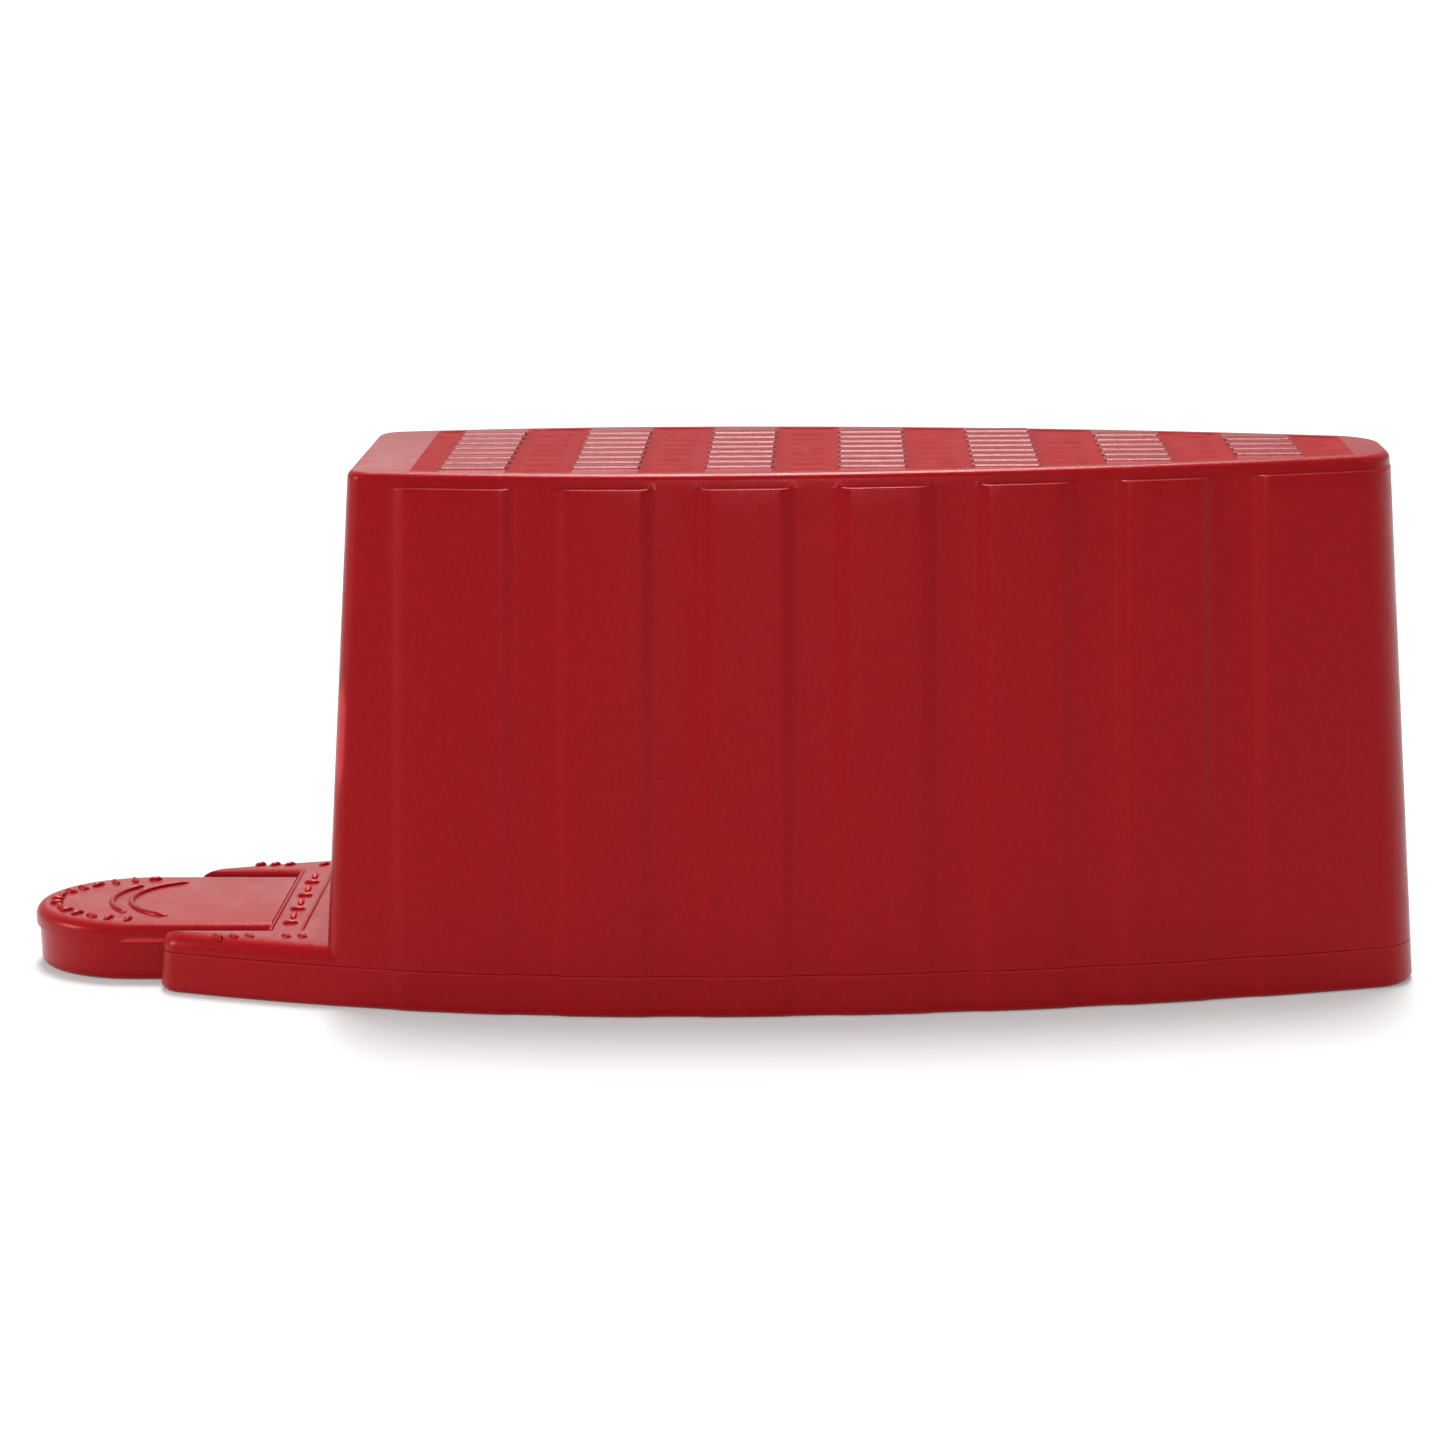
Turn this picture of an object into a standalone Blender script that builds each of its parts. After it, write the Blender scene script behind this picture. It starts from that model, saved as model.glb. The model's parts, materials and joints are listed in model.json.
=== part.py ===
"""Door wedge: a hollow, ribbed moulding with a hanging tongue, closed by a welded base plate.

The wedge lies on its side as it is moulded: the plane of the base plate is z = 0 and the
hollow block rises from it. Length runs along X, with the hanging tongue at -X and the thin
end of the wedge at +X. The two long gripping faces look along -Y and +Y and mirror each
other about y = 0. All sizes are in metres.
"""
import math

import bmesh
import bpy

# ---- driving dimensions -------------------------------------------------------------
LENGTH = 0.133              # nose of the tongue to the thin end, at the foot
HEIGHT = 0.0503             # underside to the top of the grip bands
SIDE_DRAFT = 0.080          # inward run of the long faces per metre of height
END_DRAFT = 0.074           # inward run of both ends per metre of height
FOOT_THICKNESS = 0.0058     # ears and tongue, both mouldings together
SEAM_HEIGHT = 0.0040        # underside of the upper moulding
SEAM_GAP = 0.0003           # room kept between the two mouldings
SEAM_STEP = 0.0003          # how far the lower tongue is set in under the upper one

THIN_END_X = LENGTH / 2
NOSE_X = -LENGTH / 2
BLOCK_END_X = -0.0362       # thick end of the block, at z = 0
EAR_END_X = -0.0526         # free end of both ears, at z = 0

# plan of the long faces at z = 0: two arcs that meet, tangent, at the crown
CROWN_X = -0.0050
CROWN_HALF_WIDTH = 0.0180
EAR_END_HALF_WIDTH = 0.0109
THIN_END_HALF_WIDTH = 0.0087

THICK_CORNER_RADIUS = 0.0015
THIN_CORNER_RADIUS = 0.0030
EAR_CORNER_RADIUS = 0.0015
TOP_EDGE_RADIUS = 0.0006
FOOT_EDGE_RADIUS = 0.0007
EAR_EDGE_RADIUS = 0.0013

# flutes on the two long faces, placed at mid-height
FLUTE_COUNT = 6
FIRST_FLUTE_X = -0.0156
FLUTE_PITCH = 0.01278
FIRST_LAND_X = -0.0275      # the strip from here to the thick end is level with the flutes
FLUTE_WIDTH = 0.0066
FLUTE_WALL = 0.0015         # width of a flute's sloped side
FLUTE_DEPTH = 0.00035
FLUTE_FAN_X = 0.0150        # the flutes spread away from here towards the foot
FLUTE_FAN = 0.65            # spread per metre of height
FLUTE_START = 0.0012        # plain rim above the lands
FLUTE_RUN_IN = 0.0004

# raised grip bands on the top face
BAND_COUNT = 7
FIRST_BAND_X = -0.0210
BAND_PITCH = 0.01207
BAND_WIDTH = 0.0060
BAND_RELIEF = 0.0002
BAND_END_MARGIN = 0.0011    # plain rim at both ends of a grip band

# hanging tongue between the two ears
TONGUE_HALF_WIDTH = 0.0079
TONGUE_EDGE_RADIUS = 0.0007
NOSE_REACH = 0.0105         # length of the tongue's elliptical nose
SLOT_WIDTH = 0.0011
SLOT_END_X = -0.0424

# inside of the upper moulding
WALL = 0.0028
ROOF = 0.0030
RIB = 0.0020
POCKET_COUNT = 6
POCKET_INSET = 0.0002       # how far the pockets' walls stand in from the mouth's
RIB_FOOT = 0.0065           # height at which the ribs start, above the locating rim
CORE_CORNER_RADIUS = 0.0010

# locating rim on the base plate
RIM_THICKNESS = 0.0016
RIM_TOP = 0.0061
RIM_CLEARANCE = 0.0003

BLEND_STEPS = 4             # facets across an edge radius
CORNER_STEPS = 5            # facets across a corner in plan
STRIP_STEPS = 8             # facets from the thick end to the first land
POCKET_STEPS = 4            # facets along one pocket's side
NOSE_STEPS = 12             # facets across half of the tongue's nose
MERGE_DEPTH = 0.0003        # how deep joined shapes reach into each other
EAR_STEPS = 10              # facets along an ear's side
EAR_OVERLAP = 0.0060        # how far the ears reach into the foot of the block
EAR_INSET = 0.00003         # keeps the ears' sides from lying in the block's

RED_POLYCARBONATE = (0.42, 0.010, 0.014, 1.0)


# ---- small helpers ------------------------------------------------------------------
def clear_scene():
    """Remove everything that the file opened with."""
    for obj in list(bpy.data.objects):
        bpy.data.objects.remove(obj, do_unlink=True)


def red_plastic(name, colour, roughness):
    """A plain moulded plastic."""
    material = bpy.data.materials.new(name)
    material.use_nodes = True
    shader = material.node_tree.nodes["Principled BSDF"]
    shader.inputs["Base Color"].default_value = colour
    shader.inputs["Roughness"].default_value = roughness
    shader.inputs["Metallic"].default_value = 0.0
    return material


def loft(name, rings):
    """A closed solid through rings of equal count, listed from the bottom up."""
    bm = bmesh.new()
    layers = []
    for z, outline in rings:
        layers.append([bm.verts.new((x, y, z)) for x, y in outline])
    bm.faces.new(list(reversed(layers[0])))
    bm.faces.new(layers[-1])
    count = len(layers[0])
    for lower, upper in zip(layers, layers[1:]):
        for i in range(count):
            j = (i + 1) % count
            bm.faces.new((lower[i], lower[j], upper[j], upper[i]))
    mesh = bpy.data.meshes.new(name)
    bm.to_mesh(mesh)
    bm.free()
    obj = bpy.data.objects.new(name, mesh)
    bpy.context.collection.objects.link(obj)
    return obj


def combine(target, other, operation):
    """Apply one exact Boolean to the target and remove the other shape."""
    modifier = target.modifiers.new(operation.lower(), "BOOLEAN")
    modifier.operation = operation
    modifier.solver = "EXACT"
    modifier.object = other
    depsgraph = bpy.context.evaluated_depsgraph_get()
    result = bpy.data.meshes.new_from_object(target.evaluated_get(depsgraph))
    target.modifiers.remove(modifier)
    target.data = result
    bpy.data.objects.remove(other, do_unlink=True)


def finish(obj, material):
    """Give a finished piece its material and smooth shading across soft edges."""
    obj.data.materials.clear()
    obj.data.materials.append(material)
    obj.data.shade_smooth()
    obj.data.set_sharp_from_angle(angle=math.radians(30))


# ---- plan outlines ------------------------------------------------------------------
def half_width(x):
    """Distance from the mid-plane to a long face at z = 0."""
    if x < CROWN_X:
        run, drop = CROWN_X - EAR_END_X, CROWN_HALF_WIDTH - EAR_END_HALF_WIDTH
    else:
        run, drop = THIN_END_X - CROWN_X, CROWN_HALF_WIDTH - THIN_END_HALF_WIDTH
    radius = (run * run + drop * drop) / (2 * drop)
    offset = x - CROWN_X
    return CROWN_HALF_WIDTH - (radius - math.sqrt(radius * radius - offset * offset))


def corner_drop(distance, radius):
    """How far a rounded corner pulls the outline in, this far from the end."""
    if distance >= radius:
        return 0.0
    reach = radius - distance
    return radius - math.sqrt(max(radius * radius - reach * reach, 0.0))


def corner_distances(radius):
    """Distances from an end at which a rounded corner is sampled, starting at the end."""
    steps = range(CORNER_STEPS + 1)
    return [radius * (1 - math.cos(math.pi / 2 * k / CORNER_STEPS)) for k in steps]


def fanned(x, z):
    """Where a place on a long face at mid-height lies at another height."""
    return FLUTE_FAN_X + (x - FLUTE_FAN_X) * (1 + FLUTE_FAN * (HEIGHT / 2 - z))


def side_stations(x0, x1, z):
    """Places along a long face between its corners, each with its flute depth (0 to 1)."""
    first_land = fanned(FIRST_LAND_X, z)
    strip = first_land - FLUTE_WALL - x0
    stations = [(x0 + strip * k / STRIP_STEPS, 1.0) for k in range(1, STRIP_STEPS + 1)]
    stations.append((first_land, 0.0))
    for index in range(FLUTE_COUNT):
        centre = fanned(FIRST_FLUTE_X + FLUTE_PITCH * index, z)
        start, end = centre - FLUTE_WIDTH / 2, centre + FLUTE_WIDTH / 2
        stations += [(start, 0.0), (start + FLUTE_WALL, 1.0), (centre, 1.0)]
        stations += [(end - FLUTE_WALL, 1.0), (end, 0.0)]
    stations.append(((stations[-1][0] + x1) / 2, 0.0))
    return stations


def wedge_outline(z, inset=0.0, left=BLOCK_END_X, relief=1.0, corners=None):
    """Plan outline of the wedge at a height, anticlockwise seen from above.

    relief 1 has lands between the flutes; relief 0 is level with the bottom of the flutes.
    """
    left_radius, right_radius = corners or (THICK_CORNER_RADIUS, THIN_CORNER_RADIUS)
    x0 = left + END_DRAFT * z + inset
    x1 = THIN_END_X - END_DRAFT * z - inset
    near = [(x0 + d, 1.0) for d in corner_distances(left_radius)]
    far = [(x1 - d, 0.0) for d in reversed(corner_distances(right_radius))]
    side = []
    for x, depth in near + side_stations(x0 + left_radius, x1 - right_radius, z) + far:
        drop = corner_drop(x - x0, left_radius) + corner_drop(x1 - x, right_radius)
        groove = FLUTE_DEPTH * (1 - relief * (1 - depth))
        side.append((x, half_width(x) - SIDE_DRAFT * z - inset - drop - groove))
    front = [(x, -y) for x, y in side]
    return front + list(reversed(side))


def tongue_outline(inset):
    """Plan outline of the tongue, with a half-elliptical nose at -X."""
    half = TONGUE_HALF_WIDTH - inset
    reach = NOSE_REACH - inset
    root = SLOT_END_X + MERGE_DEPTH
    angles = [math.pi / 2 * k / NOSE_STEPS for k in range(NOSE_STEPS + 1)]
    side = [(NOSE_X + NOSE_REACH - reach * math.cos(a), half * math.sin(a)) for a in angles]
    side.append((root, half))
    front = [(x, -y) for x, y in side]
    return front + list(reversed(side[1:]))


def rounded_edge(z_flat, z_edge, radius):
    """Heights and insets of a rounded edge, from the flat wall to the face at z_edge."""
    direction = 1 if z_edge > z_flat else -1
    steps = range(BLEND_STEPS + 1)
    angles = [math.pi / 2 * k / BLEND_STEPS for k in steps]
    start = z_edge - direction * radius
    return [(start + direction * radius * math.sin(a), radius * (1 - math.cos(a))) for a in angles]


# ---- shapes that both mouldings are joined from ---------------------------------------
def slice_levels(z_low, z_high, radius, rounded):
    """Heights and insets of a slice whose outer edge is rounded at its low or high side."""
    if rounded == "high":
        return [(z_low, 0.0)] + rounded_edge(z_low, z_high, radius)
    return list(reversed(rounded_edge(z_high, z_low, radius))) + [(z_high, 0.0)]


def cut_notch(slab, z_low, z_high):
    """Open a slice of the foot between its ears, for the tongue."""
    half = TONGUE_HALF_WIDTH + SLOT_WIDTH
    start = EAR_END_X - SLOT_WIDTH
    notch = [(start, -half), (SLOT_END_X, -half), (SLOT_END_X, half), (start, half)]
    cutter = loft("notch", [(z_low - MERGE_DEPTH, notch), (z_high + MERGE_DEPTH, notch)])
    combine(slab, cutter, "DIFFERENCE")


def tongue_slab(z_low, z_high, set_in, rounded):
    """A slice of the tongue with one rounded edge, at its top or its underside."""
    levels = slice_levels(z_low, z_high, TONGUE_EDGE_RADIUS, rounded)
    return loft("tongue", [(z, tongue_outline(set_in + inset)) for z, inset in levels])


# ---- upper moulding -----------------------------------------------------------------
def block():
    """The solid wedge block, fluted on both long faces, with a rounded top edge."""
    plain_top = HEIGHT - BAND_RELIEF
    flute_top = plain_top - FLUTE_START
    rings = [(SEAM_HEIGHT, 0.0, 1.0), (flute_top - FLUTE_RUN_IN, 0.0, 1.0), (flute_top, 0.0, 0.0)]
    rings += [(z, inset, 0.0) for z, inset in rounded_edge(flute_top, plain_top, TOP_EDGE_RADIUS)]
    return loft("upper_shell", [(z, wedge_outline(z, inset, relief=relief)) for z, inset, relief in rings])


def ear_outline(z, inset):
    """Plan outline of the foot beside the tongue; its far end lies inside the block."""
    x0 = EAR_END_X + END_DRAFT * z + inset
    places = [x0 + d for d in corner_distances(EAR_CORNER_RADIUS)]
    start, end = places[-1], BLOCK_END_X + EAR_OVERLAP
    places += [start + (end - start) * k / EAR_STEPS for k in range(1, EAR_STEPS + 1)]
    side = []
    for x in places:
        drop = corner_drop(x - x0, EAR_CORNER_RADIUS)
        side.append((x, half_width(x) - SIDE_DRAFT * z - inset - drop - FLUTE_DEPTH))
    front = [(x, -y) for x, y in side]
    return front + list(reversed(side))


def ears():
    """The upper halves of both ears, as one slice that is open between them."""
    levels = slice_levels(SEAM_HEIGHT, FOOT_THICKNESS, EAR_EDGE_RADIUS, "high")
    slab = loft("ears", [(z, ear_outline(z, EAR_INSET + inset)) for z, inset in levels])
    cut_notch(slab, SEAM_HEIGHT, FOOT_THICKNESS)
    return slab


def grip_band(index):
    """One low raised band across the top face."""
    plain_top = HEIGHT - BAND_RELIEF
    centre = FIRST_BAND_X + BAND_PITCH * index
    edges = [centre + BAND_WIDTH * share for share in (-0.5, 0.0, 0.5)]
    reach = SIDE_DRAFT * plain_top + FLUTE_DEPTH + BAND_END_MARGIN
    side = [(x, half_width(x) - reach) for x in edges]
    outline = [(x, -y) for x, y in side] + list(reversed(side))
    return loft("band", [(plain_top - MERGE_DEPTH, outline), (HEIGHT, outline)])


def pocket(index):
    """The hollow between two cross ribs, as a cutter."""
    inner_x0 = BLOCK_END_X + WALL
    inner_x1 = THIN_END_X - WALL
    share = (inner_x1 - inner_x0 + RIB) / POCKET_COUNT
    rings = []
    for z in (RIB_FOOT, HEIGHT - BAND_RELIEF - ROOF):
        low_stop = inner_x0 + END_DRAFT * z + POCKET_INSET
        high_stop = inner_x1 - END_DRAFT * z - POCKET_INSET
        x0 = max(inner_x0 + share * index, low_stop)
        x1 = min(inner_x0 + share * (index + 1) - RIB, high_stop)
        reach = SIDE_DRAFT * z + WALL + FLUTE_DEPTH + POCKET_INSET
        places = [x0 + (x1 - x0) * k / POCKET_STEPS for k in range(POCKET_STEPS + 1)]
        side = [(x, half_width(x) - reach) for x in places]
        rings.append((z, [(x, -y) for x, y in side] + list(reversed(side))))
    return loft("pocket", rings)


def mouth():
    """The open underside of the hollow, below the ribs, as a cutter."""
    corners = (CORE_CORNER_RADIUS, CORE_CORNER_RADIUS)
    levels = (SEAM_HEIGHT - MERGE_DEPTH, RIB_FOOT + MERGE_DEPTH)
    rings = [(z, wedge_outline(z, WALL, relief=0.0, corners=corners)) for z in levels]
    return loft("mouth", rings)


def upper_shell(material):
    """Hollow fluted block with the upper halves of the ears and the tongue."""
    shell = block()
    combine(shell, ears(), "UNION")
    combine(shell, tongue_slab(SEAM_HEIGHT, FOOT_THICKNESS, 0.0, "high"), "UNION")
    for index in range(BAND_COUNT):
        combine(shell, grip_band(index), "UNION")
    combine(shell, mouth(), "DIFFERENCE")
    for index in range(POCKET_COUNT):
        combine(shell, pocket(index), "DIFFERENCE")
    finish(shell, material)
    return shell


# ---- lower moulding -----------------------------------------------------------------
def locating_rim():
    """A low rim that stands inside the mouth of the upper moulding."""
    corners = (CORE_CORNER_RADIUS, CORE_CORNER_RADIUS)
    outer_inset = WALL + RIM_CLEARANCE
    plate_top = SEAM_HEIGHT - SEAM_GAP
    levels = (plate_top - MERGE_DEPTH, RIM_TOP)
    outer = [(z, wedge_outline(z, outer_inset, relief=0.0, corners=corners)) for z in levels]
    rim = loft("rim", outer)
    inner_inset = outer_inset + RIM_THICKNESS
    levels = (plate_top - 2 * MERGE_DEPTH, RIM_TOP + MERGE_DEPTH)
    inner = [(z, wedge_outline(z, inner_inset, relief=0.0, corners=corners)) for z in levels]
    combine(rim, loft("rim_core", inner), "DIFFERENCE")
    return rim


def base_plate(material):
    """Flat plate that closes the shell, with the lower halves of the ears and the tongue."""
    top = SEAM_HEIGHT - SEAM_GAP
    corners = (EAR_CORNER_RADIUS, THIN_CORNER_RADIUS)
    levels = slice_levels(0.0, top, FOOT_EDGE_RADIUS, "low")
    rings = [(z, wedge_outline(z, inset, EAR_END_X, corners=corners)) for z, inset in levels]
    plate = loft("base_plate", rings)
    cut_notch(plate, 0.0, top)
    combine(plate, tongue_slab(0.0, top, SEAM_STEP, "low"), "UNION")
    combine(plate, locating_rim(), "UNION")
    finish(plate, material)
    return plate


def main():
    """Build both mouldings."""
    clear_scene()
    material = red_plastic("red_polycarbonate", RED_POLYCARBONATE, 0.38)
    upper_shell(material)
    base_plate(material)


main()
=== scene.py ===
import json
import math

import bmesh
import bpy
from mathutils import Matrix, Vector

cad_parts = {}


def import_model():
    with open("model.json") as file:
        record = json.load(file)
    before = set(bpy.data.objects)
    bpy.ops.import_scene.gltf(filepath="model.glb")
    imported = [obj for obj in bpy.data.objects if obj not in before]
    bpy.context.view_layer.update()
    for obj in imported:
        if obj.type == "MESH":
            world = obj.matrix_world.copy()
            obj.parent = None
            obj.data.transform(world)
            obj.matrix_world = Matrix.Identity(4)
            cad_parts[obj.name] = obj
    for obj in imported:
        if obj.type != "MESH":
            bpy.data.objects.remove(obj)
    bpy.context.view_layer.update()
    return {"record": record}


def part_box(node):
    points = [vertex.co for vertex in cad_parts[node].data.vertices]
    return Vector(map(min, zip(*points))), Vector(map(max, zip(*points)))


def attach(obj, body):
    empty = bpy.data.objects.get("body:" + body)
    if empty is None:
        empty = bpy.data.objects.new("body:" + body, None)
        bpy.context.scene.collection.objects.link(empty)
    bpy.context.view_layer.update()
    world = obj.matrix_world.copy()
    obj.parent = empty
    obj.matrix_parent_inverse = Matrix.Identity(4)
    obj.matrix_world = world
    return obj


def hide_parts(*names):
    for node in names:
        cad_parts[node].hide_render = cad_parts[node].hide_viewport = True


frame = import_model()

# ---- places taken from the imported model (metres) ---------------------------------------
SHELL_LOW, SHELL_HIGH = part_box("upper_shell")
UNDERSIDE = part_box("base_plate")[0].z
MOUNTS = {mount["name"]: mount for mount in frame["record"]["mounts"]}
NOSE_X = SHELL_LOW.x
THIN_END_X = -NOSE_X        # the frame's origin is half-way between both ends
HEIGHT = SHELL_HIGH.z
SEAM_HEIGHT = SHELL_LOW.z
FOOT_TOP = MOUNTS["tongue_top"]["pos_m"][2]

# ---- driving dimensions of the block and the foot --------------------------------------
SIDE_DRAFT = 0.080          # inward run of the long faces per metre of height
END_DRAFT = 0.074           # inward run of both ends per metre of height
SEAM_EDGE = 0.00006         # small bevel along the upper moulding's lower edge
SEAM_CLEARANCE = 0.00002    # room kept between the two mouldings
SEAM_STEP = 0.0003          # how far the lower tongue is set in under the upper one
BLOCK_END_X = -0.0362       # thick end of the block, at z = 0
EAR_END_X = -0.0526         # free end of both ears, at z = 0
CROWN_X = -0.0050           # where the wedge is thickest
CROWN_HALF_WIDTH = 0.0180
EAR_END_HALF_WIDTH = 0.0109
THIN_END_HALF_WIDTH = 0.0087
THICK_CORNER_RADIUS = 0.0015
THIN_CORNER_RADIUS = 0.0030
EAR_CORNER_RADIUS = 0.0015
FOOT_EDGE_RADIUS = 0.0007
EAR_EDGE_RADIUS = 0.0013
TONGUE_HALF_WIDTH = 0.0079
TONGUE_EDGE_RADIUS = 0.0010
NOSE_REACH = 0.0105         # length of the tongue's elliptical nose
SLOT_WIDTH = 0.0011         # gap between the tongue and each ear
SLOT_END_X = -0.0424

# ---- flutes on the two long faces ------------------------------------------------------
FLUTE_COUNT = 6
FLUTE_FAN_X = 0.0150        # the flutes spread away from here towards the foot
FLUTE_FAN = 0.65            # spread per metre of height
FIRST_FLUTE_X = -0.0156     # at mid-height
FLUTE_PITCH = 0.01278
FIRST_LAND_X = -0.0275      # the strip from here to the thick end is level with the flutes
FLUTE_WIDTH = 0.0066
FLUTE_WALL = 0.0017         # width of a flute's sloped side
FLUTE_DEPTH = 0.00046       # at the top; the flutes get shallower towards the foot
FLUTE_FOOT_SHARE = 0.35     # share of the depth that is left at z = 0
END_STRIP_STEPS = 4         # facets along the strip at the thick end
FLUTE_STEPS = 6             # facets across one flute's sloped side
LAND_STEPS = 5              # facets along one land
SHELF_TOP = 0.0012          # plain rim above the lands
SHELF_DROP = 0.00030        # height of the small shelf at the top of a land
# (share of the shelf's drop, relief) from the foot of the shelf to the rim
SHELF_PROFILE = ((1.0, 1.0), (0.62, 0.97), (0.44, 0.9), (0.3, 0.74), (0.0, 0.0))

# ---- grip bands on the top face --------------------------------------------------------
TOP_EDGE_RADIUS = 0.0006
RIB_RISE = 0.00026
PLAIN_TOP = HEIGHT - RIB_RISE   # the top face that the ribs stand on
BAND_COUNT = 7
FIRST_BAND_X = -0.0210
BAND_PITCH = 0.01207
BAND_WIDTH = 0.0060
FIRST_CHANNEL_SHARE = 0.45  # length of the channel before the first band, as a share of a gap
LAST_CHANNEL_SHARE = 0.8    # length of the channel after the last band, as a share of a gap
CHANNEL_DEPTH = 0.00016
CHANNEL_SLOPE = 0.0008      # length of a channel's sloped end
CHANNEL_SIDE_SHARE = 0.3    # width of a channel's sloped side, as a share of that length
CHANNEL_STEPS = 6           # facets along one channel
GRIP_MARGIN = 0.0011        # plain rim between the grip pattern and the long edges
RIB_PITCH = 0.00265
RIB_HALF_WIDTH = 0.00110
RIB_FIT_SHARE = 0.8         # share of a rib's half width that has to fit between the plain rims
RIB_OVERRUN = 0.00012       # how far the ribs reach over a channel's edge
FAINT_RIB_RISE = 0.00012
FAINT_RIB_SETBACK = 0.0015  # from each end of a channel; also the shortest faint rib
FAINT_RIB_TAPER = 0.0005
FAINT_RIB_TAPER_SHARE = 0.3     # a short rib's taper is at most this share of its length

# ---- raised marks on the foot ----------------------------------------------------------
ARC_CENTRE_X = -0.0500
# (radius along X, radius along Y, first angle, last angle), with the angles in degrees
ARCS = ((0.0071, 0.0056, 112, 248), (0.0090, 0.0064, 140, 220))
ARC_RISE = 0.00030
ARC_HALF_WIDTH = 0.00032
ARC_STEPS = 24
DASH_TAPER_SHARE = 0.22     # share of a dash's length that its taper takes at each end
DASH_HALF_WIDTH = 0.00032
DASH_STEPS = 6
NOSE_DASH_COUNT = 15        # along part of an ellipse
NOSE_DASH_CENTRE_X = -0.0535
NOSE_DASH_RADIUS_X = 0.0110
NOSE_DASH_RADIUS_Y = 0.0064
NOSE_DASH_START = 104       # degrees
NOSE_DASH_SWEEP = 152       # degrees
NOSE_DASH_LENGTH = 0.0013
NOSE_DASH_RISE = 0.00034
STRIP_LINES_X = (-0.0418, -0.0388)
STRIP_LINE_REACH = 0.0095   # on each side of the mid-plane
STRIP_LINE_TAPER = 0.0004
STRIP_LINE_RISE = 0.00016
STRIP_LINE_HALF_WIDTH = 0.00018
STRIP_DASH_COUNT = 8
STRIP_DASH_PITCH = 0.0021
STRIP_DASH_X = -0.0403
STRIP_DASH_LENGTH = 0.0015
STRIP_DASH_RISE = 0.00032
EAR_DASHES_X = (-0.0465, -0.0450, -0.0435, -0.0400, -0.0385)
EAR_DASH_Y = 0.0112
EAR_DASH_TURN = 0.6         # radians
EAR_DASH_LENGTH = 0.0011
EAR_DASH_HALF_WIDTH = 0.00028
EAR_DASH_RISE = 0.00028

# ---- mesh detail -----------------------------------------------------------------------
EAR_STEPS = 12
EAR_OVERLAP = 0.0060        # how far the ears' slab reaches under the block
EAR_INSET = 0.00003         # keeps the ears' sides just inside the block's
NOTCH_FLARE_SHARE = 0.6     # rounding of the ears' inner edges, as a share of their outer ones
WALL_STEPS = 24             # rows of faces up the block's walls
CORNER_STEPS = 8
BLEND_STEPS = 6             # rows of faces over a rounded edge
NOSE_STEPS = 28
TONGUE_STEPS = 8            # facets along the tongue's straight side
RIDGE_STEPS = 8             # facets across a ridge
RIDGE_END_WIDTH = 0.55      # width of a ridge's ends, as a share of its full width
RIDGE_END_RISE = 0.35       # height of a ridge's ends, as a share of its full height
RIDGE_SINK = 0.02           # share of its height that a ridge's foot lies under the face
MERGE_DEPTH = 0.0003        # how far joined or cut shapes reach past each other
EDGE_BORDER = 0.0004        # narrow row of faces beside an edge, which keeps its wear narrow
SMOOTH_ANGLE = 32           # degrees; a fold sharper than this shades as a crease


# ---- mesh helpers ----------------------------------------------------------------------
def mesh_object(name, bm, material):
    """Link a finished bmesh as an object."""
    mesh = bpy.data.meshes.new(name)
    bm.to_mesh(mesh)
    bm.free()
    mesh.materials.append(material)
    obj = bpy.data.objects.new(name, mesh)
    bpy.context.collection.objects.link(obj)
    return obj


def add_loft(bm, rings, strips=False):
    """A closed solid through rings of 3-D points of equal count.

    With strips, both end faces are rows of quads between the ring's two mirrored halves.
    """
    layers = [[bm.verts.new(point) for point in ring] for ring in rings]
    count = len(layers[0])
    bottom, top = layers[0], layers[-1]
    if strips:
        for k in range(count // 2 - 1):
            bm.faces.new((bottom[k], bottom[-1 - k], bottom[-2 - k], bottom[k + 1]))
            bm.faces.new((top[k], top[k + 1], top[-2 - k], top[-1 - k]))
    else:
        bm.faces.new(list(reversed(bottom)))
        bm.faces.new(top)
    for lower, upper in zip(layers, layers[1:]):
        for i in range(count):
            j = (i + 1) % count
            bm.faces.new((lower[i], lower[j], upper[j], upper[i]))


def loft(name, levels, material, strips=False):
    """A closed solid through plan outlines, listed as (height, outline) from the bottom up."""
    bm = bmesh.new()
    add_loft(bm, [[(x, y, z) for x, y in outline] for z, outline in levels], strips)
    return mesh_object(name, bm, material)


def combine(target, other, operation):
    """Apply one exact Boolean to the target and remove the other shape."""
    modifier = target.modifiers.new(operation.lower(), "BOOLEAN")
    modifier.operation = operation
    modifier.solver = "EXACT"
    modifier.material_mode = "TRANSFER"
    modifier.object = other
    depsgraph = bpy.context.evaluated_depsgraph_get()
    result = bpy.data.meshes.new_from_object(target.evaluated_get(depsgraph))
    target.modifiers.remove(modifier)
    target.data = result
    bpy.data.objects.remove(other, do_unlink=True)


def smooth(obj):
    """Smooth shading across soft edges only."""
    obj.data.shade_smooth()
    obj.data.set_sharp_from_angle(angle=math.radians(SMOOTH_ANGLE))


# ---- plan outlines ---------------------------------------------------------------------
def half_width(x):
    """Distance from the mid-plane to a long face at z = 0."""
    if x < CROWN_X:
        run, drop = CROWN_X - EAR_END_X, CROWN_HALF_WIDTH - EAR_END_HALF_WIDTH
    else:
        run, drop = THIN_END_X - CROWN_X, CROWN_HALF_WIDTH - THIN_END_HALF_WIDTH
    radius = (run * run + drop * drop) / (2 * drop)
    offset = x - CROWN_X
    return CROWN_HALF_WIDTH - (radius - math.sqrt(radius * radius - offset * offset))


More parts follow.
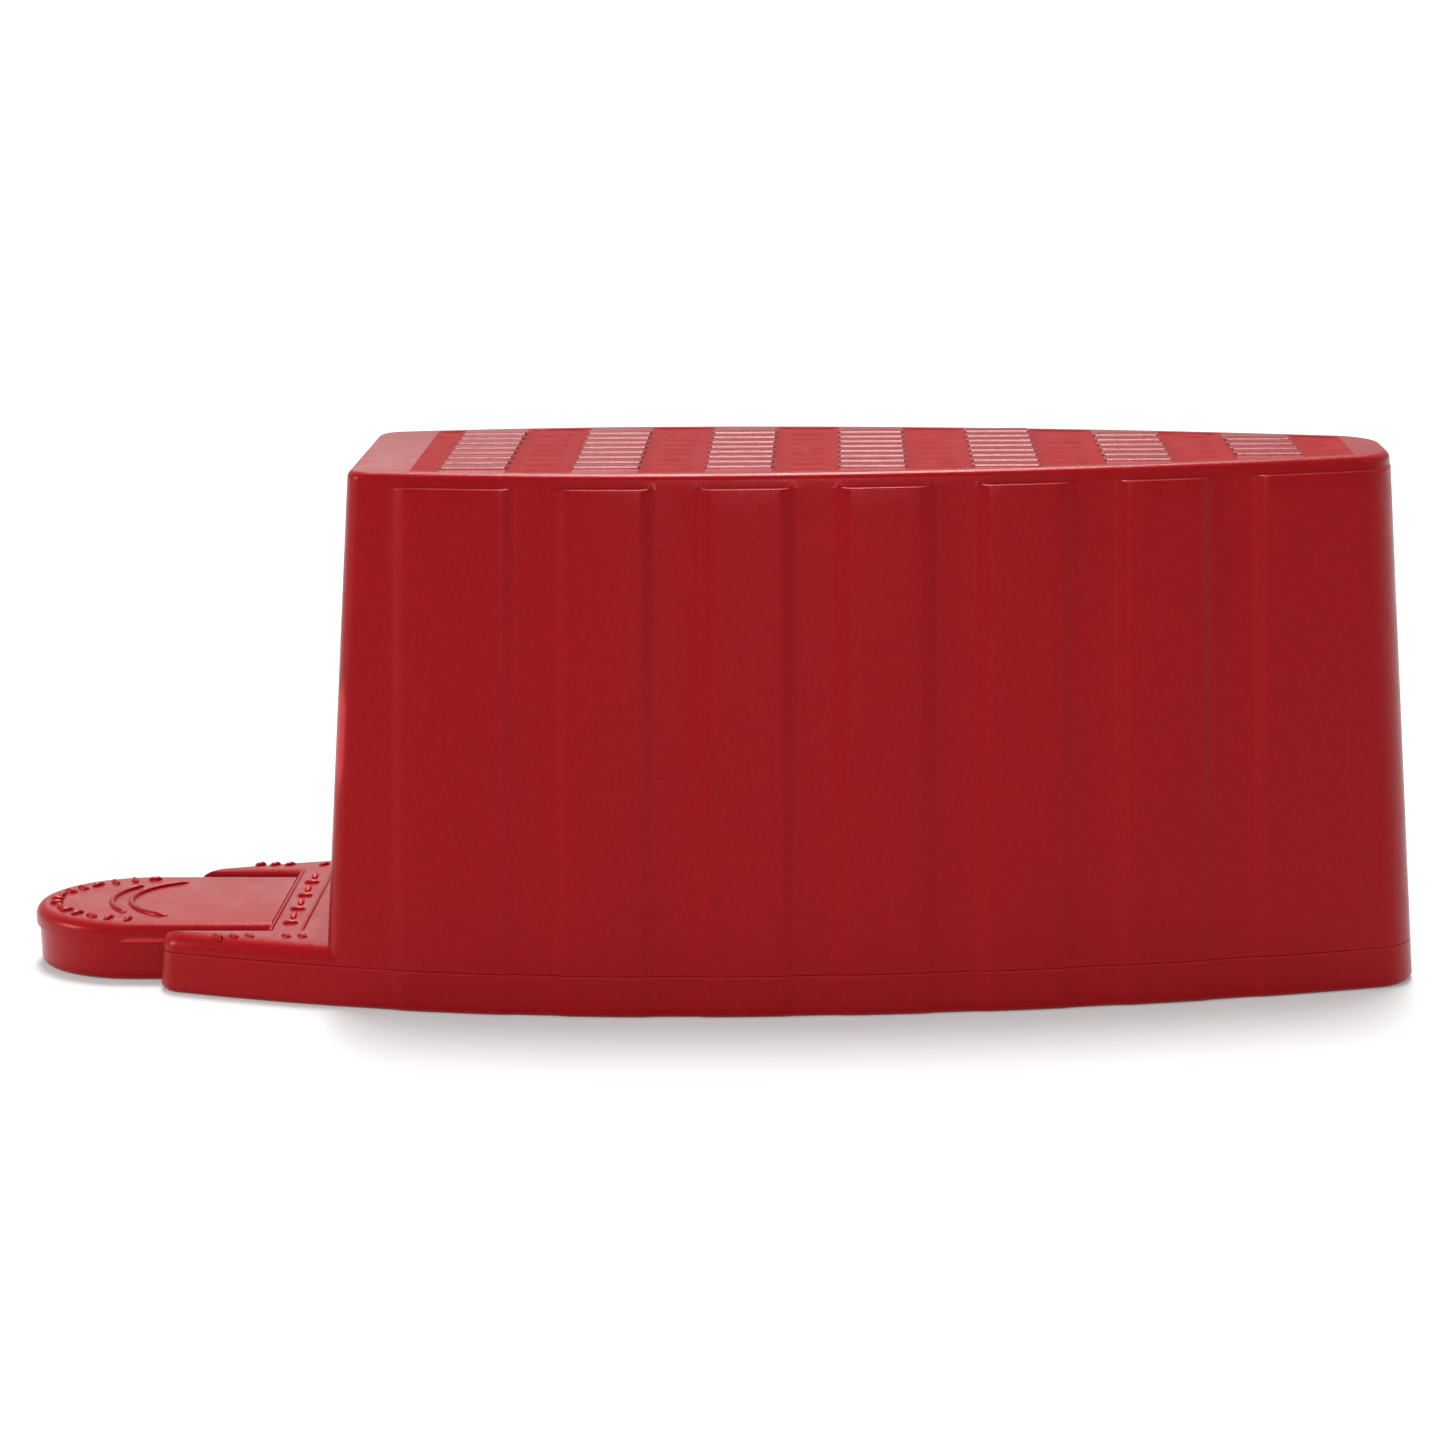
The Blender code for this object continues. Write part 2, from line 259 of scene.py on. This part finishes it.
def corner_drop(distance, radius):
    """How far a rounded corner pulls the outline in, this far from the end."""
    if distance >= radius:
        return 0.0
    reach = radius - distance
    return radius - math.sqrt(max(radius * radius - reach * reach, 0.0))


def corner_distances(radius):
    """Distances from an end at which a rounded corner is sampled, starting at the end."""
    return [radius * (1 - math.cos(math.pi / 2 * k / CORNER_STEPS)) for k in range(CORNER_STEPS + 1)]


def fanned(x, z):
    """Where a place on a long face at mid-height lies at another height."""
    return FLUTE_FAN_X + (x - FLUTE_FAN_X) * (1 + FLUTE_FAN * (HEIGHT / 2 - z))


def wall_profile():
    """Offsets down one sloped side of a flute, each with how deep the surface lies there."""
    shares = [k / FLUTE_STEPS for k in range(FLUTE_STEPS + 1)]
    return [(FLUTE_WALL * share, share * share * (3 - 2 * share)) for share in shares]


def side_stations(x0, x1, z):
    """Places along a long face between its corners, each with its flute depth (0 to 1)."""
    half = FLUTE_WIDTH / 2
    flutes = [fanned(FIRST_FLUTE_X + FLUTE_PITCH * k, z) for k in range(FLUTE_COUNT)]
    land_starts = [fanned(FIRST_LAND_X, z)] + [x + half for x in flutes]
    land_ends = [x - half for x in flutes] + [x1]
    strip_end = land_starts[0] - FLUTE_WALL
    stations = [(x0 + (strip_end - x0) * k / END_STRIP_STEPS, 1.0) for k in range(1, END_STRIP_STEPS)]
    for index, (start, end) in enumerate(zip(land_starts, land_ends)):
        stations += [(start - offset, depth) for offset, depth in reversed(wall_profile())]
        stations += [(start + (end - start) * k / LAND_STEPS, 0.0) for k in range(1, LAND_STEPS)]
        if index < FLUTE_COUNT:
            stations += [(end + offset, depth) for offset, depth in wall_profile()]
            stations.append((flutes[index], 1.0))
    return stations


def flute_depth(z):
    """Depth of the flutes at a height."""
    return FLUTE_DEPTH * (FLUTE_FOOT_SHARE + (1 - FLUTE_FOOT_SHARE) * z / HEIGHT)


def wedge_outline(z, inset, left, corners, relief=1.0):
    """Plan outline of the wedge at a height, anticlockwise seen from above.

    relief 1 has lands between the flutes; relief 0 is level with the bottom of the flutes.
    """
    left_radius, right_radius = corners
    x0 = left + END_DRAFT * z + inset
    x1 = THIN_END_X - END_DRAFT * z - inset
    near = [(x0 + d, 1.0) for d in corner_distances(left_radius)]
    far = [(x1 - d, 0.0) for d in reversed(corner_distances(right_radius))]
    side = []
    for x, depth in near + side_stations(x0 + left_radius, x1 - right_radius, z) + far:
        drop = corner_drop(x - x0, left_radius) + corner_drop(x1 - x, right_radius)
        groove = flute_depth(z) * (1 - relief * (1 - depth))
        side.append((x, half_width(x) - SIDE_DRAFT * z - inset - drop - groove))
    return [(x, -y) for x, y in side] + list(reversed(side))


def tongue_outline(inset):
    """Plan outline of the tongue, with a half-elliptical nose at -X."""
    half = TONGUE_HALF_WIDTH - inset
    reach = NOSE_REACH - inset
    angles = [math.pi / 2 * k / NOSE_STEPS for k in range(NOSE_STEPS + 1)]
    side = [(NOSE_X + NOSE_REACH - reach * math.cos(a), half * math.sin(a)) for a in angles]
    start, end = side[-1][0], SLOT_END_X + MERGE_DEPTH
    side += [(start + (end - start) * k / TONGUE_STEPS, half) for k in range(1, TONGUE_STEPS + 1)]
    return [(x, -y) for x, y in side] + list(reversed(side[1:]))


def rounded_edge(z_edge, radius, upward):
    """Heights and insets of a rounded edge that ends in a face at z_edge."""
    sign = 1 if upward else -1
    angles = [math.pi / 2 * k / BLEND_STEPS for k in range(BLEND_STEPS + 1)]
    edge = [(z_edge + sign * radius * (math.sin(a) - 1), radius * (1 - math.cos(a))) for a in angles]
    return edge if upward else list(reversed(edge))


def seam_edge():
    """Heights and insets of the upper moulding's lower edge."""
    edge = [(SEAM_HEIGHT, SEAM_EDGE), (SEAM_HEIGHT + SEAM_EDGE, 0.0)]
    return edge + [(SEAM_HEIGHT + EDGE_BORDER, 0.0)]


# ---- raised detail ---------------------------------------------------------------------
def add_ridge(bm, path, z, rise, half, steps=RIDGE_STEPS):
    """A low rounded ridge along a plan path, standing on the face at height z."""
    rings = []
    last = len(path) - 1
    for index, point in enumerate(path):
        before = Vector(path[max(index - 1, 0)])
        after = Vector(path[min(index + 1, last)])
        along = (after - before).normalized()
        across = Vector((-along.y, along.x))
        end = index in (0, last)
        width, height = (half * RIDGE_END_WIDTH, rise * RIDGE_END_RISE) if end else (half, rise)
        ring = [Vector(point) - across * width, Vector(point) + across * width]
        points = [(p.x, p.y, z - MERGE_DEPTH) for p in ring]
        for k in range(steps + 1):
            angle = math.pi * k / steps
            place = Vector(point) + across * (width * math.cos(angle))
            points.append((place.x, place.y, z + height * math.sin(angle) - height * RIDGE_SINK))
        rings.append(points)
    add_loft(bm, rings)


def straight_path(x0, y0, x1, y1, taper):
    """A straight path with its end taper as separate points."""
    start, end = Vector((x0, y0)), Vector((x1, y1))
    step = (end - start).normalized() * taper
    return [tuple(start), tuple(start + step), tuple(end - step), tuple(end)]


def arc_path(centre_x, radius_x, radius_y, start, end, steps):
    """Part of an ellipse around a point on the mid-plane; angles in degrees."""
    path = []
    for k in range(steps + 1):
        angle = math.radians(start + (end - start) * k / steps)
        path.append((centre_x + radius_x * math.cos(angle), radius_y * math.sin(angle)))
    return path


# ---- upper moulding --------------------------------------------------------------------
def block(material):
    """The wedge block, fluted on both long faces, with a shelf on each land and a plain rim."""
    shelf = PLAIN_TOP - SHELF_TOP
    wall_start = SEAM_HEIGHT + EDGE_BORDER
    wall_run = shelf - SHELF_DROP - wall_start
    levels = [(z, inset, 1.0) for z, inset in seam_edge()]
    levels += [(wall_start + wall_run * k / WALL_STEPS, 0.0, 1.0) for k in range(1, WALL_STEPS)]
    levels += [(shelf - SHELF_DROP * drop, 0.0, relief) for drop, relief in SHELF_PROFILE]
    levels += [(z, inset, 0.0) for z, inset in rounded_edge(PLAIN_TOP, TOP_EDGE_RADIUS, True)]
    corners = (THICK_CORNER_RADIUS, THIN_CORNER_RADIUS)
    rings = [(z, wedge_outline(z, inset, BLOCK_END_X, corners, relief)) for z, inset, relief in levels]
    return loft("upper_shell_moulding", rings, material, strips=True)


def grip_reach(x):
    """Distance from the mid-plane to the edge of the grip pattern on the top face."""
    return half_width(x) - SIDE_DRAFT * PLAIN_TOP - FLUTE_DEPTH - GRIP_MARGIN


def band_span(index):
    """Start and end of one grip band along the top face."""
    centre = FIRST_BAND_X + BAND_PITCH * index
    return centre - BAND_WIDTH / 2, centre + BAND_WIDTH / 2


def channel_spans():
    """Start and end of each dull channel beside and between the grip bands."""
    gap = BAND_PITCH - BAND_WIDTH
    first = band_span(0)[0]
    spans = [(first - gap * FIRST_CHANNEL_SHARE, first)]
    for index in range(BAND_COUNT):
        end = band_span(index)[1]
        length = gap * (LAST_CHANNEL_SHARE if index == BAND_COUNT - 1 else 1.0)
        spans.append((end, end + length))
    return spans


def channel_cutter(spans, material):
    """Shallow channels with sloped sides, as one cutter."""
    bm = bmesh.new()
    for x0, x1 in spans:
        rings = []
        for rise, spread in ((-CHANNEL_DEPTH, -CHANNEL_SLOPE), (CHANNEL_DEPTH, CHANNEL_SLOPE)):
            length = x1 - x0 + 2 * spread
            places = [x0 - spread + length * k / CHANNEL_STEPS for k in range(CHANNEL_STEPS + 1)]
            side = [(x, grip_reach(x) + spread * CHANNEL_SIDE_SHARE) for x in places]
            outline = [(x, -y) for x, y in side] + list(reversed(side))
            rings.append([(x, y, PLAIN_TOP + rise) for x, y in outline])
        add_loft(bm, rings)
    return mesh_object("channels", bm, material)


def rib_rows(x0, x1):
    """Mid-lines of the ribs that fit between the rims all the way from x0 to x1."""
    reach = min(grip_reach(x0), grip_reach(x1)) - RIB_HALF_WIDTH * RIB_FIT_SHARE
    count = int(reach / RIB_PITCH + 0.5)
    return [RIB_PITCH * (k + 0.5) for k in range(-count, count)]


def grip_ribs(material):
    """The crisp ribs across every grip band."""
    bm = bmesh.new()
    for index in range(BAND_COUNT):
        x0, x1 = band_span(index)
        for y in rib_rows(x0, x1):
            path = straight_path(x0 - RIB_OVERRUN, y, x1 + RIB_OVERRUN, y, RIB_OVERRUN * 2)
            add_ridge(bm, path, PLAIN_TOP, RIB_RISE, RIB_HALF_WIDTH)
    return mesh_object("ribs", bm, material)


def faint_ribs(spans, material):
    """The lower ribs in the dull channels."""
    bm = bmesh.new()
    for x0, x1 in spans:
        start, end = x0 + FAINT_RIB_SETBACK, x1 - FAINT_RIB_SETBACK
        if end - start < FAINT_RIB_SETBACK:
            continue
        taper = min(FAINT_RIB_TAPER, (end - start) * FAINT_RIB_TAPER_SHARE)
        for y in rib_rows(start, end):
            path = straight_path(start, y, end, y, taper)
            add_ridge(bm, path, PLAIN_TOP - CHANNEL_DEPTH, FAINT_RIB_RISE, RIB_HALF_WIDTH)
    return mesh_object("faint_ribs", bm, material)


def ear_outline(z, inset):
    """Plan outline of the foot beside the tongue; its far end lies inside the block."""
    x0 = EAR_END_X + END_DRAFT * z + inset
    places = [x0 + d for d in corner_distances(EAR_CORNER_RADIUS)]
    start, end = places[-1], BLOCK_END_X + EAR_OVERLAP
    places += [start + (end - start) * k / EAR_STEPS for k in range(1, EAR_STEPS + 1)]
    side = []
    for x in places:
        drop = corner_drop(x - x0, EAR_CORNER_RADIUS)
        side.append((x, half_width(x) - SIDE_DRAFT * z - inset - drop - flute_depth(z)))
    return [(x, -y) for x, y in side] + list(reversed(side))


def ears(levels, material):
    """The upper slice of the foot that carries both ears."""
    rings = [(z, ear_outline(z, EAR_INSET + inset)) for z, inset in levels]
    return loft("ears", rings, material, strips=True)


def foot_slab(name, levels, material):
    """A slice of the whole foot, before the opening between the ears is cut out."""
    corners = (EAR_CORNER_RADIUS, THIN_CORNER_RADIUS)
    rings = [(z, wedge_outline(z, inset, EAR_END_X, corners)) for z, inset in levels]
    return loft(name, rings, material, strips=True)


def notch_cutter(levels, material):
    """The opening between the ears, which flares where their edges are rounded."""
    rings = []
    for z, flare in levels:
        half = TONGUE_HALF_WIDTH + SLOT_WIDTH + flare
        end = SLOT_END_X + flare
        start = EAR_END_X - SLOT_WIDTH
        rings.append((z, [(start, -half), (end, -half), (end, half), (start, half)]))
    return loft("notch", rings, material)


def ring_marks(bm):
    """Two plain arcs round the smooth pad of the tongue."""
    for radius_x, radius_y, start, end in ARCS:
        arc = arc_path(ARC_CENTRE_X, radius_x, radius_y, start, end, ARC_STEPS)
        add_ridge(bm, arc, FOOT_TOP, ARC_RISE, ARC_HALF_WIDTH)


def dash(bm, x, y, angle, length, half, rise):
    """One short raised dash on the foot, centred on x, y; the angle is in radians."""
    step = Vector((math.cos(angle), math.sin(angle))) * (length / 2)
    path = straight_path(x - step.x, y - step.y, x + step.x, y + step.y, length * DASH_TAPER_SHARE)
    add_ridge(bm, path, FOOT_TOP, rise, half, DASH_STEPS)


def nose_dashes(bm):
    """Dashes round the tongue's nose: every third one lies along the edge, the others point out."""
    for k in range(NOSE_DASH_COUNT):
        angle = math.radians(NOSE_DASH_START + NOSE_DASH_SWEEP * k / (NOSE_DASH_COUNT - 1))
        x = NOSE_DASH_CENTRE_X + NOSE_DASH_RADIUS_X * math.cos(angle)
        y = NOSE_DASH_RADIUS_Y * math.sin(angle)
        turn = angle + (0.0 if k % 3 else math.pi / 2)
        dash(bm, x, y, turn, NOSE_DASH_LENGTH, DASH_HALF_WIDTH, NOSE_DASH_RISE)


def strip_marks(bm):
    """The strip beside the block: two thin lines with plain dashes between them."""
    for x in STRIP_LINES_X:
        path = straight_path(x, -STRIP_LINE_REACH, x, STRIP_LINE_REACH, STRIP_LINE_TAPER)
        add_ridge(bm, path, FOOT_TOP, STRIP_LINE_RISE, STRIP_LINE_HALF_WIDTH)
    for k in range(STRIP_DASH_COUNT):
        y = STRIP_DASH_PITCH * (k - (STRIP_DASH_COUNT - 1) / 2)
        turn = math.pi / 2 if k % 2 else 0.0
        dash(bm, STRIP_DASH_X, y, turn, STRIP_DASH_LENGTH, DASH_HALF_WIDTH, STRIP_DASH_RISE)


def ear_marks(bm):
    """A few plain dashes on the root of each ear."""
    for side in (-1, 1):
        y, turn = side * EAR_DASH_Y, side * EAR_DASH_TURN
        for x in EAR_DASHES_X:
            dash(bm, x, y, turn, EAR_DASH_LENGTH, EAR_DASH_HALF_WIDTH, EAR_DASH_RISE)


def marks(material):
    """All raised marks on the foot, as one mesh of separate closed bodies."""
    bm = bmesh.new()
    ring_marks(bm)
    nose_dashes(bm)
    strip_marks(bm)
    ear_marks(bm)
    return mesh_object("marks", bm, material)


def upper_moulding(plain, dull, rib):
    """Fluted block with its grip pattern, and the upper halves of the ears and the tongue."""
    shell = block(plain)
    foot = ears(seam_edge() + rounded_edge(FOOT_TOP, EAR_EDGE_RADIUS, True), plain)
    flare = rounded_edge(FOOT_TOP, EAR_EDGE_RADIUS * NOTCH_FLARE_SHARE, True)
    notch = [(SEAM_HEIGHT - MERGE_DEPTH, 0.0)] + flare + [(FOOT_TOP + MERGE_DEPTH, flare[-1][1])]
    combine(foot, notch_cutter(notch, plain), "DIFFERENCE")
    combine(shell, foot, "UNION")
    edge = rounded_edge(FOOT_TOP, TONGUE_EDGE_RADIUS, True)
    tongue = [(z, tongue_outline(inset)) for z, inset in seam_edge() + edge]
    combine(shell, loft("tongue", tongue, plain), "UNION")
    spans = channel_spans()
    combine(shell, channel_cutter(spans, dull), "DIFFERENCE")
    combine(shell, faint_ribs(spans, dull), "UNION")
    combine(shell, grip_ribs(rib), "UNION")
    combine(shell, marks(plain), "UNION")
    smooth(shell)
    return shell


# ---- lower moulding --------------------------------------------------------------------
def lower_levels(set_in):
    """Heights and insets of the lower moulding, rounded along the edge of its underside."""
    levels = rounded_edge(UNDERSIDE, FOOT_EDGE_RADIUS, False)
    bottom = UNDERSIDE + FOOT_EDGE_RADIUS
    top = SEAM_HEIGHT - SEAM_CLEARANCE
    levels += [(bottom + EDGE_BORDER, 0.0), (top - EDGE_BORDER, 0.0), (top, 0.0)]
    return [(z, set_in + inset) for z, inset in levels]


def lower_moulding(material):
    """Flat plate under the shell, with the lower halves of the ears and the tongue."""
    plate = foot_slab("base_plate_moulding", lower_levels(0.0), material)
    notch = [(UNDERSIDE - MERGE_DEPTH, 0.0), (SEAM_HEIGHT + MERGE_DEPTH, 0.0)]
    combine(plate, notch_cutter(notch, material), "DIFFERENCE")
    tongue = [(z, tongue_outline(inset)) for z, inset in lower_levels(SEAM_STEP)]
    combine(plate, loft("lower_tongue", tongue, material), "UNION")
    smooth(plate)
    return plate


# ---- materials -------------------------------------------------------------------------
WHITE = (1.0, 1.0, 1.0, 1.0)
RED = (0.200, 0.0020, 0.0030, 1.0)
# the same red darkened: painted shade that tones down the light the ribs catch
RIB_SHADED_RED = (0.145, 0.0016, 0.0026, 1.0)
WORN_RED = (0.55, 0.040, 0.045, 1.0)
GLOSS_TINT = (0.9, 0.18, 0.20, 1.0)
NOISE_LOW, NOISE_HIGH = 0.3, 0.7    # range that most values of a noise lie in
DRIFT_NOISE = (55.0, 3.0)           # scale per metre, detail
DRIFT_SHADES = (0.96, 1.04)         # factors on the base colour
SPECKLE_NOISE = (2600.0, 2.0)
SPECKLE_SHADE = 1.3
SPECKLE_AMOUNT = 0.6                # largest share of the speckles' colour
WEAR_LOW, WEAR_HIGH = 0.55, 0.66    # pointiness at which edge wear starts and is full
WEAR_AMOUNT = 0.5                   # largest share of the worn colour
GLOSS_NOISE = (420.0, 4.0)
ROUGHNESS_DIP, ROUGHNESS_RISE = 0.05, 0.06      # how far the roughness drifts
GRAIN_NOISE = (2200.0, 3.0)
GRAIN_HEIGHT = 0.00004
COLOUR_A, COLOUR_B, COLOUR_RESULT = 6, 7, 2     # colour sockets of a mix node
FLOOR_HALF_SIZE = 80.0
FLOOR_GREY = (0.52, 0.52, 0.52, 1.0)
FLOOR_GLOW = 0.2                    # emission that lifts the floor to white


def red_plastic(name, colour, roughness, grain, index=1.5):
    """Moulded red plastic with mould grain, slow colour drift and paler worn edges."""
    material = bpy.data.materials.new(name)
    material.use_nodes = True
    nodes = material.node_tree.nodes
    links = material.node_tree.links
    shader = nodes["Principled BSDF"]
    shader.inputs["IOR"].default_value = index
    shader.inputs["Specular Tint"].default_value = GLOSS_TINT
    place = nodes.new("ShaderNodeTexCoord").outputs["Object"]

    def noise(scale, detail):
        node = nodes.new("ShaderNodeTexNoise")
        node.inputs["Scale"].default_value = scale
        node.inputs["Detail"].default_value = detail
        links.new(place, node.inputs["Vector"])
        return node.outputs["Fac"]

    def spread(value, low, high, low_in=NOISE_LOW, high_in=NOISE_HIGH):
        node = nodes.new("ShaderNodeMapRange")
        node.inputs["From Min"].default_value = low_in
        node.inputs["From Max"].default_value = high_in
        node.inputs["To Min"].default_value = low
        node.inputs["To Max"].default_value = high
        links.new(value, node.inputs["Value"])
        return node.outputs["Result"]

    def mix(factor, a, b):
        node = nodes.new("ShaderNodeMix")
        node.data_type = "RGBA"
        links.new(factor, node.inputs["Factor"])
        for socket, value in ((node.inputs[COLOUR_A], a), (node.inputs[COLOUR_B], b)):
            if isinstance(value, tuple):
                socket.default_value = value
            else:
                links.new(value, socket)
        return node.outputs[COLOUR_RESULT]

    def shade(factor):
        return tuple(channel * factor for channel in colour[:3]) + (1.0,)

    dark, light = (shade(factor) for factor in DRIFT_SHADES)
    drift = mix(spread(noise(*DRIFT_NOISE), 0.0, 1.0), dark, light)
    speckle = mix(spread(noise(*SPECKLE_NOISE), 0.0, SPECKLE_AMOUNT), drift, shade(SPECKLE_SHADE))
    geometry = nodes.new("ShaderNodeNewGeometry")
    wear = spread(geometry.outputs["Pointiness"], 0.0, WEAR_AMOUNT, WEAR_LOW, WEAR_HIGH)
    links.new(mix(wear, speckle, WORN_RED), shader.inputs["Base Color"])
    smoothest, roughest = roughness - ROUGHNESS_DIP, roughness + ROUGHNESS_RISE
    links.new(spread(noise(*GLOSS_NOISE), smoothest, roughest), shader.inputs["Roughness"])
    bump = nodes.new("ShaderNodeBump")
    bump.inputs["Strength"].default_value = grain
    bump.inputs["Distance"].default_value = GRAIN_HEIGHT
    links.new(noise(*GRAIN_NOISE), bump.inputs["Height"])
    links.new(bump.outputs["Normal"], shader.inputs["Normal"])
    return material


def pale_floor():
    """A plain matt floor, light enough to render white."""
    material = bpy.data.materials.new("floor_white")
    material.use_nodes = True
    shader = material.node_tree.nodes["Principled BSDF"]
    shader.inputs["Base Color"].default_value = FLOOR_GREY
    shader.inputs["Emission Color"].default_value = WHITE
    shader.inputs["Emission Strength"].default_value = FLOOR_GLOW
    shader.inputs["Roughness"].default_value = 1.0
    shader.inputs["Specular IOR Level"].default_value = 0.0
    bm = bmesh.new()
    half = FLOOR_HALF_SIZE
    corners = ((-half, -half), (half, -half), (half, half), (-half, half))
    bm.faces.new([bm.verts.new((x, y, 0.0)) for x, y in corners])
    floor = mesh_object("floor", bm, material)


# ---- camera and light ------------------------------------------------------------------
CAMERA_PLACE = (0.0122, -0.2849, 0.0991)
CAMERA_TURN = 2.26          # degrees to the left of straight ahead
CAMERA_DIP = 14.84          # degrees below level
CAMERA_ROLL = -0.71         # degrees
SENSOR_WIDTH = 36.0         # millimetres
FOCAL_LENGTH = 76.71        # millimetres
CLIP_START, CLIP_END = 0.01, 200.0
WORLD_STRENGTH = 0.52
SUNS = (                    # name, elevation, azimuth, angular size (all in degrees), strength
    ("overhead_softbox", 76, 0, 16, 3.1),
    ("back_softbox", 52, 0, 22, 1.6),
    ("low_back_softbox", 19, -12, 16, 0.055),
    ("front_key", 14, 176, 10, 0.55),
    ("left_key", 18, -112, 14, 1.6),
    ("right_fill", 25, 120, 30, 0.2),
)


def camera():
    """The camera, in front of the near long face and a little above the wedge."""
    data = bpy.data.cameras.new("camera")
    data.sensor_width = SENSOR_WIDTH
    data.lens = FOCAL_LENGTH
    data.clip_start = CLIP_START
    data.clip_end = CLIP_END
    obj = bpy.data.objects.new("camera", data)
    obj.location = CAMERA_PLACE
    turn = Matrix.Rotation(math.radians(CAMERA_TURN), 3, "Z")
    tilt = Matrix.Rotation(math.radians(90 - CAMERA_DIP), 3, "X")
    roll = Matrix.Rotation(math.radians(CAMERA_ROLL), 3, "Z")
    obj.rotation_euler = (turn @ tilt @ roll).to_euler()
    bpy.context.collection.objects.link(obj)
    bpy.context.scene.camera = obj


def sun(name, elevation, azimuth, spread, strength):
    """A wide, soft, even light. Azimuth 0 comes from behind the object (+Y), 90 from +X."""
    data = bpy.data.lights.new(name, "SUN")
    data.angle = math.radians(spread)
    data.energy = strength
    obj = bpy.data.objects.new(name, data)
    up, around = math.radians(elevation), math.radians(azimuth)
    towards = Vector((math.cos(up) * math.sin(around), math.cos(up) * math.cos(around), math.sin(up)))
    obj.rotation_euler = towards.to_track_quat("Z", "Y").to_euler()
    bpy.context.collection.objects.link(obj)


def world():
    """Even white light from all round."""
    surroundings = bpy.data.worlds.new("studio")
    surroundings.use_nodes = True
    background = surroundings.node_tree.nodes["Background"]
    background.inputs["Color"].default_value = WHITE
    background.inputs["Strength"].default_value = WORLD_STRENGTH
    bpy.context.scene.world = surroundings


# ---- assembly --------------------------------------------------------------------------
camera()
pale_floor()
world()
for light in SUNS:
    sun(*light)

plain_plastic = red_plastic("red_plastic", RED, roughness=0.30, grain=0.35)
dull_plastic = red_plastic("red_plastic_dull", RED, roughness=0.68, grain=0.6, index=1.30)
# ribs get the darkened red: painted shade on the same plastic
rib_plastic = red_plastic("red_plastic_ribs", RIB_SHADED_RED, roughness=0.27, grain=0.4, index=1.37)

shell_piece = upper_moulding(plain_plastic, dull_plastic, rib_plastic)
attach(shell_piece, "root")
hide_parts("upper_shell")

plate_piece = lower_moulding(plain_plastic)
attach(plate_piece, "root")
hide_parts("base_plate")

bpy.context.scene.view_settings.view_transform = "Standard"
